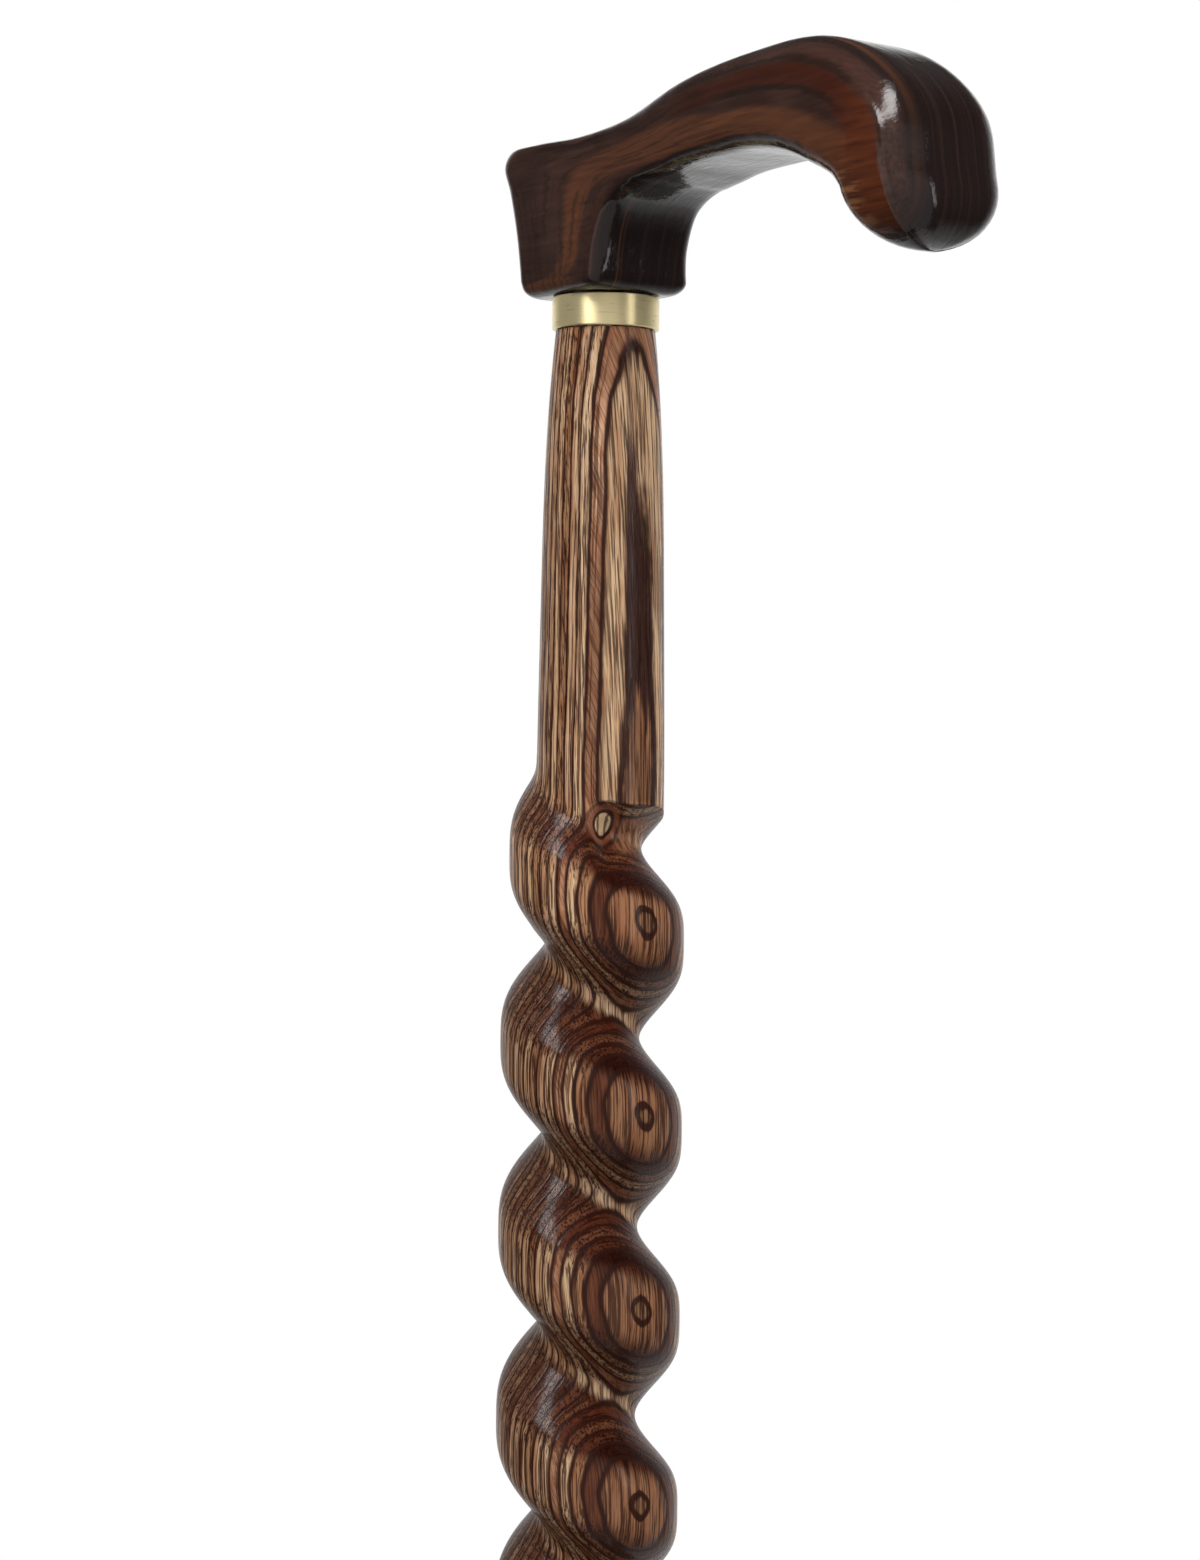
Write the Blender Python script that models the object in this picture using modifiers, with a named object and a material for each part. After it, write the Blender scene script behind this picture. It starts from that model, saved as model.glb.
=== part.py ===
"""Twisted walking cane: derby handle, brass collar, laminated rope-twist shaft and rubber tip.

Metres, +Z up the shaft. The origin is the middle of the rubber tip's ground face,
and the handle's nose points along +X.
"""
import math

import bpy
import bmesh
from mathutils import Vector

# Overall heights
HANDLE_BASE = 0.8805        # ground to the underside of the handle's neck
FIT = 0.0003                # clearance between pieces that touch or slide on each other

# Handle, measured from the shaft's axis and from the handle's own underside
HANDLE_THICKNESS = 0.0254
GRIP_WAIST = 0.0008         # how much each side is hollowed along the grip
NECK_BACK = 0.0148          # neck block behind the axis
NECK_FRONT = 0.0130         # neck block in front of the axis
TAIL_REACH = 0.0246         # upper back corner
NOSE_REACH = 0.1087         # front of the nose
CROWN_HEIGHT = 0.0392       # highest point of the grip
ARCH_HEIGHT = 0.0210        # highest point of the underside, where the fingers go
NOSE_BACK = 0.0930          # where the inner line would end if it ran on to the nose's tip
NOSE_DOME = 0.0128          # length of the rounded end of the nose
NOSE_LEAN = 0.26            # how much the rounded end leans forward
NECK_EDGE = 0.0030          # edge rounding at the neck's foot and back
ARCH_EDGE = 0.0044          # edge rounding along the underside
CROWN_EDGE = 0.0060         # edge rounding along the top
NOSE_EDGE = 0.0068          # edge rounding at the front of the nose

# Joining rod and the two blind bores that hold it
ROD_DIAMETER = 0.008
HANDLE_BORE_DEPTH = 0.022
SHAFT_BORE_DEPTH = 0.036

# Collar
COLLAR_DIAMETER = 0.0223
COLLAR_HEIGHT = 0.0066
COLLAR_WALL = 0.0012
COLLAR_EDGE = 0.0003

# Straight grip section of the shaft, below the collar
SHOULDER_RADIUS = 0.01035   # right under the collar
STRAIGHT_RADIUS = 0.0129    # where the twist starts
STRAIGHT_FLARE = 0.0004     # the lower half fills out by this much more
STRAIGHT_LENGTH = 0.0972    # collar to the level where the groove starts

# Rope twist: one left-handed strand
PITCH = 0.0393
LOBE_RADIUS = 0.0190
CORE_RADIUS = 0.0099
STRAND_FULLNESS = 0.0011    # makes the strand rounder than a plain wave
GROOVE_START = math.radians(-40.0)   # direction in which the groove begins
GROOVE_PLUNGE = math.radians(20.0)   # turn over which the groove reaches its depth
SWELL_TURN = math.radians(270.0)     # turn over which the strand grows to full size
START_DROP = 0.0046         # the groove starts this much lower than its helix
FILLET = 0.0030             # how gently the first strand grows out of the straight grip
TWIST_OFFSET = 0.0012       # the rope's centre line lies this far off the grip's
OFFSET_DIRECTION = math.radians(236.0)

# Lower end, slimmer towards the tip
TAPER_TOP = 0.600
TAPER_BOTTOM = 0.115
FOOT_LOBE_RADIUS = 0.0135
FOOT_CORE_RADIUS = 0.0086
TWIST_END = 0.085           # below this the shaft is a plain round foot
RUN_OUT = 0.035             # length over which the twist fades into the foot
FOOT_DIAMETER = 0.0190

# Rubber tip and its washer
TIP_HEIGHT = 0.046
TIP_TOP_DIAMETER = 0.0270
TIP_BASE_DIAMETER = 0.0360
TIP_SOLE = 0.0095           # rubber under the washer
TIP_EDGE = 0.0020
RIB_COUNT = 3
RIB_SPACING = 0.0055
RIB_DEPTH = 0.0007
TREAD_DEPTH = 0.0015
TREAD_WIDTH = 0.0020
TREAD_RADII = (0.0065, 0.0115)
WASHER_THICKNESS = 0.0015
WASHER_BORE = 0.006

# Facets
SHAFT_COLUMNS = 16
RINGS_PER_TURN = 16
STRAIGHT_RINGS = 12
ROUND_STEPS = 36
EDGE_POINTS = 4
SECTION_STEPS = 3
DOME_RINGS = 7

# Derived levels
COLLAR_TOP = HANDLE_BASE - FIT
SHOULDER = COLLAR_TOP - COLLAR_HEIGHT - FIT
GROOVE_LEVEL = SHOULDER - STRAIGHT_LENGTH
SHAFT_BOTTOM = TIP_SOLE + 2 * FIT + WASHER_THICKNESS
FOOT_RADIUS = FOOT_DIAMETER / 2
SPIGOT_RADIUS = COLLAR_DIAMETER / 2 - COLLAR_WALL - FIT
BORE_RADIUS = ROD_DIAMETER / 2 + FIT

# Handle sections from the neck's underside, round the arch, to where the nose rounds off.
# Each row gives the outer line's place as shares of (back or nose reach, crown height)
# and the inner line's place as shares of (neck front to nose back, arch height).
HANDLE_SECTIONS = (
    ((-0.60, 0.00), (0.000, 0.00)),
    ((-0.64, 0.135), (0.005, 0.22)),
    ((-0.73, 0.355), (0.020, 0.49)),
    ((-0.875, 0.60), (0.058, 0.75)),
    ((-1.00, 0.755), (0.108, 0.86)),
    ((-0.915, 0.83), (0.154, 0.91)),
    ((-0.50, 0.838), (0.201, 0.93)),
    ((0.024, 0.82), (0.260, 0.955)),
    ((0.18, 0.847), (0.338, 0.99)),
    ((0.354, 0.96), (0.456, 1.00)),
    ((0.543, 1.00), (0.590, 0.985)),
    ((0.745, 0.973), (0.720, 0.885)),
    ((0.887, 0.802), (0.838, 0.70)),
    ((0.975, 0.555), (0.910, 0.56)),
    ((0.998, 0.26), (0.945, 0.44)),
)


def smooth(value):
    """Ease from 0 to 1."""
    value = min(max(value, 0.0), 1.0)
    return value * value * (3.0 - 2.0 * value)


def mix(first, second, share):
    return first + (second - first) * share


def new_collection(name):
    collection = bpy.data.collections.new(name)
    bpy.context.scene.collection.children.link(collection)
    return collection


def material(name, color, roughness, metallic=0.0, coat=0.0):
    result = bpy.data.materials.new(name)
    result.use_nodes = True
    shader = result.node_tree.nodes["Principled BSDF"]
    shader.inputs["Base Color"].default_value = (*color, 1.0)
    shader.inputs["Roughness"].default_value = roughness
    shader.inputs["Metallic"].default_value = metallic
    shader.inputs["Coat Weight"].default_value = coat
    result.diffuse_color = (*color, 1.0)
    return result


def add_object(name, mesh, collection, surface=None):
    piece = bpy.data.objects.new(name, mesh)
    collection.objects.link(piece)
    if surface:
        mesh.materials.append(surface)
    return piece


def loft(name, rings, slant):
    """Close a stack of rings into one solid. slant turns the facets' diagonals the other way."""
    shape = bmesh.new()
    stack = [[shape.verts.new(point) for point in ring] for ring in rings]
    for lower, upper in zip(stack, stack[1:]):
        count = len(lower)
        for here in range(count):
            after = (here + 1) % count
            if slant:
                shape.faces.new((lower[here], lower[after], upper[here]))
                shape.faces.new((lower[after], upper[after], upper[here]))
            else:
                shape.faces.new((lower[here], lower[after], upper[after], upper[here]))
    shape.faces.new(list(reversed(stack[0])))
    shape.faces.new(stack[-1])
    bmesh.ops.recalc_face_normals(shape, faces=shape.faces)
    mesh = bpy.data.meshes.new(name)
    shape.to_mesh(mesh)
    shape.free()
    mesh.shade_smooth()
    mesh.set_sharp_from_angle(angle=math.radians(50))
    return mesh


def turned(name, profile, collection, surface, closed=False):
    """Turn a profile of (radius, height) points round Z; it runs down the outer side."""
    mesh = bpy.data.meshes.new(name)
    count = len(profile)
    edges = [(at, at + 1) for at in range(count - 1)]
    if closed:
        edges.append((count - 1, 0))
    mesh.from_pydata([(radius, 0.0, height) for radius, height in profile], edges, [])
    piece = add_object(name, mesh, collection, surface)
    screw = piece.modifiers.new("turn", "SCREW")
    screw.axis = "Z"
    screw.steps = screw.render_steps = ROUND_STEPS
    screw.use_merge_vertices = True
    screw.merge_threshold = 0.00001
    screw.use_smooth_shade = True
    return piece


def bore(piece, name, low, high, cutters):
    """Cut a round blind hole on the shaft's axis between two heights."""
    shape = bmesh.new()
    bmesh.ops.create_cone(
        shape, cap_ends=True, segments=ROUND_STEPS // 2,
        radius1=BORE_RADIUS, radius2=BORE_RADIUS, depth=high - low)
    mesh = bpy.data.meshes.new(name)
    shape.to_mesh(mesh)
    shape.free()
    cutter = add_object(name, mesh, cutters)
    cutter.location.z = (low + high) / 2
    cutter.hide_render = True
    cutter.display_type = "WIRE"
    cut = piece.modifiers.new(name, "BOOLEAN")
    cut.operation = "DIFFERENCE"
    cut.solver = "EXACT"
    cut.object = cutter


def curve_through(rows, steps):
    """Smooth curve through rows of numbers, steps samples per gap, even where the gaps differ."""
    gaps = [math.dist(a, b) ** 0.5 for a, b in zip(rows, rows[1:])]
    slopes = [
        tuple((after - before) / gap for before, after in zip(rows[at], rows[at + 1]))
        for at, gap in enumerate(gaps)]
    tangents = [slopes[0]]
    for at in range(1, len(rows) - 1):
        share = gaps[at - 1] / (gaps[at - 1] + gaps[at])
        tangents.append(tuple(mix(a, b, share) for a, b in zip(slopes[at - 1], slopes[at])))
    tangents.append(slopes[-1])
    samples = []
    for at, gap in enumerate(gaps):
        for step in range(steps):
            t = step / steps
            ease = t * t * (3 - 2 * t)
            leave, arrive = gap * t * (1 - t) ** 2, gap * t * t * (t - 1)
            samples.append(tuple(
                mix(start, end, ease) + leave * out + arrive * into
                for start, end, out, into in zip(
                    rows[at], rows[at + 1], tangents[at], tangents[at + 1])))
    samples.append(rows[-1])
    return samples


def rounded_section(outer, inner, half_width, low, high, rise=0.0):
    """Rounded rectangle from the inner to the outer line, across Y. low and high are the radii."""
    span = (outer - inner).length
    along = (outer - inner).normalized()
    corners = (
        (half_width - low, low, -90, low),
        (half_width - high, span - high, 0, high),
        (high - half_width, span - high, 90, high),
        (low - half_width, low, 180, low),
    )
    points = []
    for side, height, start, edge in corners:
        for step in range(EDGE_POINTS):
            angle = math.radians(start + 90.0 * step / (EDGE_POINTS - 1))
            place = inner + along * (height + edge * math.sin(angle))
            points.append(Vector((place.x, side + edge * math.cos(angle), place.y + rise)))
    return points


def handle_lines():
    """Outer and inner line of the handle's side view, one (x, z) pair per section."""
    rows = []
    for (outer_x, outer_z), (inner_x, inner_z) in HANDLE_SECTIONS:
        reach = TAIL_REACH if outer_x < 0 else NOSE_REACH
        rows.append((
            outer_x * reach,
            outer_z * CROWN_HEIGHT,
            mix(NECK_FRONT, NOSE_BACK, inner_x),
            inner_z * ARCH_HEIGHT,
        ))
    rows[0] = (-NECK_BACK, 0.0, NECK_FRONT, 0.0)
    return curve_through(rows, SECTION_STEPS)


def handle_rings():
    """Sections from the rounded foot of the neck to the domed end of the nose."""
    lines = handle_lines()
    half = HANDLE_THICKNESS / 2
    rings = []
    for step in range(EDGE_POINTS):
        angle = math.radians(90.0 * step / EDGE_POINTS)
        inset = NECK_EDGE * (1.0 - math.sin(angle))
        rise = NECK_EDGE * (1.0 - math.cos(angle))
        outer = Vector((inset - NECK_BACK, 0.0))
        inner = Vector((NECK_FRONT - inset, 0.0))
        rings.append(rounded_section(
            outer, inner, half - inset, NECK_EDGE, NECK_EDGE, rise))
    for at, (outer_x, outer_z, inner_x, inner_z) in enumerate(lines):
        if outer_x < 0 and min(outer_z, inner_z) < NECK_EDGE:
            continue
        share = at / (len(lines) - 1)
        width = half - GRIP_WAIST * math.sin(math.pi * share) ** 2
        low = mix(NECK_EDGE, ARCH_EDGE, smooth(8.0 * share))
        high = mix(NECK_EDGE, CROWN_EDGE, smooth(2.5 * share))
        high += (NOSE_EDGE - CROWN_EDGE) * smooth((share - 0.75) / 0.2)
        rings.append(rounded_section(
            Vector((outer_x, outer_z)), Vector((inner_x, inner_z)), width, low, high))
    rings += nose_dome(rings[-1], lines[-1])
    return [[point + Vector((0, 0, HANDLE_BASE)) for point in ring] for ring in rings]


def nose_dome(last_ring, last_line):
    """Shrink the last section into the rounded end that closes the nose."""
    outer_x, outer_z, inner_x, inner_z = last_line
    middle = sum(last_ring, Vector()) / len(last_ring)
    down = Vector((outer_z - inner_z, 0.0, inner_x - outer_x))
    if down.z > 0:
        down.negate()
    down = (down.normalized() + Vector((NOSE_LEAN, 0.0, 0.0))).normalized()
    rings = []
    for step in range(1, DOME_RINGS + 1):
        angle = math.radians(86.0 * step / DOME_RINGS)
        shrink, sink = math.cos(angle), NOSE_DOME * math.sin(angle)
        rings.append([middle + (point - middle) * shrink + down * sink for point in last_ring])
    return rings


def make_handle(collection, cutters, surface):
    mesh = loft("handle", handle_rings(), slant=False)
    handle = add_object("handle", mesh, collection, surface)
    bore(handle, "handle_bore", HANDLE_BASE - HANDLE_BORE_DEPTH,
         HANDLE_BASE + HANDLE_BORE_DEPTH, cutters)
    return handle


def make_collar(collection, surface):
    outside = COLLAR_DIAMETER / 2
    inside = outside - COLLAR_WALL
    low = COLLAR_TOP - COLLAR_HEIGHT
    profile = (
        (inside + COLLAR_EDGE, COLLAR_TOP),
        (outside - COLLAR_EDGE, COLLAR_TOP),
        (outside, COLLAR_TOP - COLLAR_EDGE),
        (outside, low + COLLAR_EDGE),
        (outside - COLLAR_EDGE, low),
        (inside + COLLAR_EDGE, low),
        (inside, low + COLLAR_EDGE),
        (inside, COLLAR_TOP - COLLAR_EDGE),
    )
    return turned("collar", profile, collection, surface, closed=True)


def make_joining_rod(collection, surface):
    low = COLLAR_TOP - SHAFT_BORE_DEPTH + FIT
    high = HANDLE_BASE + HANDLE_BORE_DEPTH - FIT
    radius, bevel = ROD_DIAMETER / 2, ROD_DIAMETER / 10
    profile = (
        (0.0, high),
        (radius - bevel, high),
        (radius, high - bevel),
        (radius, low + bevel),
        (radius - bevel, low),
        (0.0, low),
    )
    return turned("joining_rod", profile, collection, surface)


def straight_radius(level):
    """Grip section: slim under the collar, filling out towards the twist."""
    share = min(max((SHOULDER - level) / STRAIGHT_LENGTH, 0.0), 1.0)
    flare = STRAIGHT_FLARE * smooth(2.0 * share - 1.0)
    return mix(SHOULDER_RADIUS, STRAIGHT_RADIUS, 1.0 - (1.0 - share) ** 4) + flare


def strand_radius(turns, level):
    """Rope profile: widest at whole turns, at the groove's bottom half-way between."""
    taper = min(max((TAPER_TOP - level) / (TAPER_TOP - TAPER_BOTTOM), 0.0), 1.0)
    lobe = mix(LOBE_RADIUS, FOOT_LOBE_RADIUS, taper)
    core = mix(CORE_RADIUS, FOOT_CORE_RADIUS, taper)
    fullness = STRAND_FULLNESS * (lobe - core) / (LOBE_RADIUS - CORE_RADIUS)
    wave = (1.0 + math.cos(2 * math.pi * turns)) / 2
    return core + (lobe - core) * wave + fullness * (1.0 - math.cos(4 * math.pi * turns))


def filleted(first, second):
    """The greater of two radii, with a fillet where they cross."""
    near = max(1.0 - abs(first - second) / FILLET, 0.0)
    return max(first, second) + near * near * FILLET / 4


def twist_radius(angle, level):
    """Radius about the rope's centre line, from the straight section to the plain foot."""
    past_start = (angle - GROOVE_START) % (2 * math.pi)
    turns = (level - GROOVE_LEVEL) / PITCH + past_start / (2 * math.pi) - 0.5
    strand = strand_radius(turns, level)
    plain = straight_radius(level) - offset_at(level) * math.cos(angle - OFFSET_DIRECTION)
    if turns < -1.0:
        rope = strand
    elif turns < -0.5:
        rope = filleted(plain, strand)
    elif turns < 0.5:
        swell = smooth((past_start - math.pi / 2) / SWELL_TURN)
        rope = mix(plain, filleted(plain, strand), swell)
    else:
        rope = plain
    if -1.0 < turns < 0.5:
        drop = START_DROP / PITCH * (1.0 - smooth(past_start / (math.pi / 2)))
        drop *= smooth((turns + 1.0) / 0.4)
        groove = strand_radius(min(turns + drop, 0.0), level)
        if groove < rope:
            rope = mix(rope, groove, smooth(past_start / GROOVE_PLUNGE))
    fade = smooth((TWIST_END + RUN_OUT - level) / RUN_OUT)
    return mix(rope, FOOT_RADIUS, fade)


def offset_at(level):
    """The rope's centre line comes back to the shaft's axis along the tapered part."""
    return TWIST_OFFSET * smooth((level - TAPER_BOTTOM) / (TAPER_TOP - TAPER_BOTTOM))


def shaft_ring(radius_at, level):
    shift = offset_at(level)
    centre = Vector((shift * math.cos(OFFSET_DIRECTION), shift * math.sin(OFFSET_DIRECTION), level))
    ring = []
    for column in range(SHAFT_COLUMNS):
        angle = 2 * math.pi * column / SHAFT_COLUMNS
        ring.append(centre + radius_at(angle) * Vector((math.cos(angle), math.sin(angle), 0)))
    return ring


def round_ring(radius, level):
    return [
        Vector((radius * math.cos(angle), radius * math.sin(angle), level))
        for angle in (2 * math.pi * column / SHAFT_COLUMNS for column in range(SHAFT_COLUMNS))]


def make_shaft(collection, cutters, surface):
    """Foot, rope twist, straight grip and the spigot that the collar sits on."""
    bevel = FOOT_RADIUS / 10
    rings = [
        round_ring(FOOT_RADIUS - bevel, SHAFT_BOTTOM),
        round_ring(FOOT_RADIUS, SHAFT_BOTTOM + bevel),
        round_ring(FOOT_RADIUS, TWIST_END),
    ]
    rise = PITCH / RINGS_PER_TURN
    twist_top = GROOVE_LEVEL + PITCH / 2
    count = int((twist_top - TWIST_END) / rise)
    for step in range(1, count + 1):
        level = TWIST_END + step * rise
        rings.append(shaft_ring(lambda angle: twist_radius(angle, level), level))
    start = rings[-1][0].z
    for step in range(1, STRAIGHT_RINGS + 1):
        level = mix(start, SHOULDER, 1.0 - (1.0 - step / STRAIGHT_RINGS) ** 1.5)
        rings.append(round_ring(straight_radius(level), level))
    rings.append(round_ring(SPIGOT_RADIUS, SHOULDER))
    rings.append(round_ring(SPIGOT_RADIUS, COLLAR_TOP))
    shaft = add_object("shaft", loft("shaft", rings, slant=True), collection, surface)
    bore(shaft, "shaft_bore", COLLAR_TOP - SHAFT_BORE_DEPTH,
         COLLAR_TOP + SHAFT_BORE_DEPTH, cutters)
    return shaft


def tip_radius(level):
    """Outer slope of the tip, from the flared base to the slim top."""
    share = (level - 2 * TIP_EDGE) / (TIP_HEIGHT - 2 * TIP_EDGE)
    flare = (1.0 - min(max(share, 0.0), 1.0)) ** 2.2
    return mix(TIP_TOP_DIAMETER, TIP_BASE_DIAMETER, flare) / 2


def make_rubber_tip(collection, surface):
    socket = FOOT_RADIUS + FIT
    profile = [(0.0, TIP_SOLE), (socket, TIP_SOLE), (socket, TIP_HEIGHT)]
    profile.append((tip_radius(TIP_HEIGHT) - TIP_EDGE / 2, TIP_HEIGHT))
    profile.append((tip_radius(TIP_HEIGHT), TIP_HEIGHT - TIP_EDGE / 2))
    for rib in range(RIB_COUNT):
        level = TIP_HEIGHT - RIB_SPACING * (rib + 1)
        half_groove = RIB_SPACING / 6
        profile.append((tip_radius(level + half_groove), level + half_groove))
        profile.append((tip_radius(level) - RIB_DEPTH, level))
        profile.append((tip_radius(level - half_groove), level - half_groove))
    lowest_rib = TIP_HEIGHT - RIB_SPACING * (RIB_COUNT + 0.6)
    for share in (0.0, 0.4, 0.75, 1.0):
        level = mix(lowest_rib, 2 * TIP_EDGE, share)
        profile.append((tip_radius(level), level))
    base = TIP_BASE_DIAMETER / 2
    profile.append((base, TIP_EDGE / 2))
    profile.append((base - TIP_EDGE / 2, 0.0))
    for radius in reversed(TREAD_RADII):
        profile.append((radius + TREAD_WIDTH / 2, 0.0))
        profile.append((radius + TREAD_WIDTH / 4, TREAD_DEPTH))
        profile.append((radius - TREAD_WIDTH / 4, TREAD_DEPTH))
        profile.append((radius - TREAD_WIDTH / 2, 0.0))
    profile.append((0.0, 0.0))
    return turned("rubber_tip", profile, collection, surface)


def make_tip_washer(collection, surface):
    low = TIP_SOLE + FIT
    high = low + WASHER_THICKNESS
    outside, inside = FOOT_RADIUS, WASHER_BORE / 2
    profile = ((inside, high), (outside, high), (outside, low), (inside, low))
    return turned("tip_washer", profile, collection, surface, closed=True)


def main():
    for thing in list(bpy.data.objects):
        bpy.data.objects.remove(thing)
    cane = new_collection("twisted_walking_cane")
    cutters = new_collection("cutters")
    walnut = material("walnut", (0.050, 0.022, 0.012), 0.22, coat=0.8)
    laminate = material("laminate", (0.200, 0.090, 0.040), 0.30, coat=0.8)
    brass = material("brass", (0.520, 0.440, 0.230), 0.32, metallic=1.0)
    steel = material("steel", (0.560, 0.570, 0.580), 0.35, metallic=1.0)
    rubber = material("rubber", (0.020, 0.020, 0.020), 0.75)
    make_handle(cane, cutters, walnut)
    make_collar(cane, brass)
    make_joining_rod(cane, steel)
    make_shaft(cane, cutters, laminate)
    make_rubber_tip(cane, rubber)
    make_tip_washer(cane, steel)


main()
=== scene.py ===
"""Looks of the twisted walking cane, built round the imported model. Metres, +Z up the shaft."""
from math import cos, dist, pi, radians, sin

import bpy
import bmesh
from mathutils import Matrix, Vector


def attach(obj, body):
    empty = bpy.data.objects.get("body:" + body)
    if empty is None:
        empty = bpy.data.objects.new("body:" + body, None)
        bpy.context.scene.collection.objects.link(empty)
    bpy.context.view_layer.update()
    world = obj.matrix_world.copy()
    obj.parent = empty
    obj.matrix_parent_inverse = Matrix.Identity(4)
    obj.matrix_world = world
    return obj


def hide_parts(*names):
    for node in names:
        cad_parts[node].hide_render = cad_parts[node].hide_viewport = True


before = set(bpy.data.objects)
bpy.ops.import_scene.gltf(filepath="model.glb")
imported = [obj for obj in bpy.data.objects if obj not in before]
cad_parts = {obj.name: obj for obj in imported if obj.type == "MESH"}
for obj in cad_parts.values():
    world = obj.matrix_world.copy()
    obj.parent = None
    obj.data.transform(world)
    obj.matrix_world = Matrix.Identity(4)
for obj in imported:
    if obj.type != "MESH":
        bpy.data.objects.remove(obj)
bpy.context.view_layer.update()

# Heights and fits, as in the solids
HANDLE_BASE = 0.8805
FIT = 0.0003

# Handle
HANDLE_THICKNESS = 0.0254
GRIP_WAIST = 0.0008
NECK_BACK = 0.0148
NECK_FRONT = 0.0130
TAIL_REACH = 0.0246
NOSE_REACH = 0.1087
CROWN_HEIGHT = 0.0392
ARCH_HEIGHT = 0.0210
NOSE_BACK = 0.0930
NOSE_DOME = 0.0128
NOSE_LEAN = 0.26
NECK_EDGE = 0.0030
ARCH_EDGE = 0.0044
CROWN_EDGE = 0.0060
NOSE_EDGE = 0.0068
ARCH_EDGE_FULL = 0.125  # share of the way along the handle where this rounding is reached
CROWN_EDGE_FULL = 0.4
NOSE_EDGE_SPAN = (0.75, 0.95)
DOME_TURN = 87.0  # degrees from the dome's foot to its last ring

# Joining rod and its bores
ROD_DIAMETER = 0.008
HANDLE_BORE_DEPTH = 0.022
SHAFT_BORE_DEPTH = 0.036
THREAD_PITCH = 0.00125
THREAD_DEPTH = 0.0005
ROD_COLUMNS = 32
THREAD_STEPS = 8  # rings in a turn of the thread

# Collar
COLLAR_DIAMETER = 0.0223
COLLAR_HEIGHT = 0.0066
COLLAR_WALL = 0.0012
COLLAR_EDGE = 0.0003
COLLAR_RIM_STEPS = 4

# Straight grip section of the shaft
SHOULDER_RADIUS = 0.01035
STRAIGHT_RADIUS = 0.0129
STRAIGHT_LENGTH = 0.0972
STRAIGHT_FLARE = 0.0004

# Rope twist
PITCH = 0.0393
LOBE_RADIUS = 0.0190
CORE_RADIUS = 0.0099
STRAND_FULLNESS = 0.0011
GROOVE_START = radians(-40.0)
GROOVE_PLUNGE = radians(20.0)
SWELL_TURN = radians(270.0)
START_DROP = 0.0046
FILLET = 0.0030
TWIST_OFFSET = 0.0012
OFFSET_DIRECTION = radians(236.0)

# Lower end of the shaft
TAPER_TOP = 0.600
TAPER_BOTTOM = 0.115
FOOT_LOBE_RADIUS = 0.0135
FOOT_CORE_RADIUS = 0.0086
TWIST_END = 0.085
RUN_OUT = 0.035
FOOT_DIAMETER = 0.0190

# Rubber tip and its washer
TIP_HEIGHT = 0.046
TIP_TOP_DIAMETER = 0.0270
TIP_BASE_DIAMETER = 0.0360
TIP_SOLE = 0.0095
TIP_EDGE = 0.0020
TIP_FLARE = 2.2
TIP_RIM_STEPS = 6
TIP_BASE_STEPS = 5
TIP_SLOPE_STEPS = 14
RIB_COUNT = 3
RIB_SPACING = 0.0055
RIB_DEPTH = 0.0007
RIB_STEPS = 8
TREAD_DEPTH = 0.0015
TREAD_WIDTH = 0.0020
TREAD_RADII = (0.0065, 0.0115)
WASHER_THICKNESS = 0.0015
WASHER_BORE = 0.006

# Derived levels
COLLAR_TOP = HANDLE_BASE - FIT
SHOULDER = COLLAR_TOP - COLLAR_HEIGHT - FIT
GROOVE_LEVEL = SHOULDER - STRAIGHT_LENGTH
TWIST_TOP = GROOVE_LEVEL + PITCH / 2
SHAFT_BOTTOM = TIP_SOLE + 2 * FIT + WASHER_THICKNESS
FOOT_RADIUS = FOOT_DIAMETER / 2
SPIGOT_RADIUS = COLLAR_DIAMETER / 2 - COLLAR_WALL - FIT
BORE_RADIUS = ROD_DIAMETER / 2 + FIT

# Handle sections, as in the solids: shares of (back or nose reach, crown height) for the
# outer line and of (neck front to nose back, arch height) for the inner line
HANDLE_SECTIONS = (
    ((-0.60, 0.00), (0.000, 0.00)),
    ((-0.64, 0.135), (0.005, 0.22)),
    ((-0.73, 0.355), (0.020, 0.49)),
    ((-0.875, 0.60), (0.058, 0.75)),
    ((-1.00, 0.755), (0.108, 0.86)),
    ((-0.915, 0.83), (0.154, 0.91)),
    ((-0.50, 0.838), (0.201, 0.93)),
    ((0.024, 0.82), (0.260, 0.955)),
    ((0.18, 0.847), (0.338, 0.99)),
    ((0.354, 0.96), (0.456, 1.00)),
    ((0.543, 1.00), (0.590, 0.985)),
    ((0.745, 0.973), (0.720, 0.885)),
    ((0.887, 0.802), (0.838, 0.70)),
    ((0.975, 0.555), (0.910, 0.56)),
    ((0.998, 0.26), (0.945, 0.44)),
)

# Fineness of the visible meshes
SECTION_STEPS = 14
CORNER_STEPS = 9
SIDE_STEPS = 26
END_STEPS = 10
DOME_STEPS = 12
SHAFT_COLUMNS = 160
FINE_RISE = 0.0003
MIDDLE_RISE = 0.0006
COARSE_RISE = 0.0010
ROUND_STEPS = 128

# Camera: the photograph's view, as a real distance and height
IMAGE_WIDTH = 1200
IMAGE_HEIGHT = 1560
FOCAL_PIXELS = 2500
AXIS_COLUMN = 602.1  # the shaft's axis at eye level, in the photograph
EYE_ROW = 633  # the horizon, in the photograph
CAMERA_AZIMUTH = radians(56.0)
CAMERA_DISTANCE = 0.5208
EYE_LEVEL = 0.8106
CAMERA_ROLL = 0.0116
SENSOR = 36.0


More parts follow.
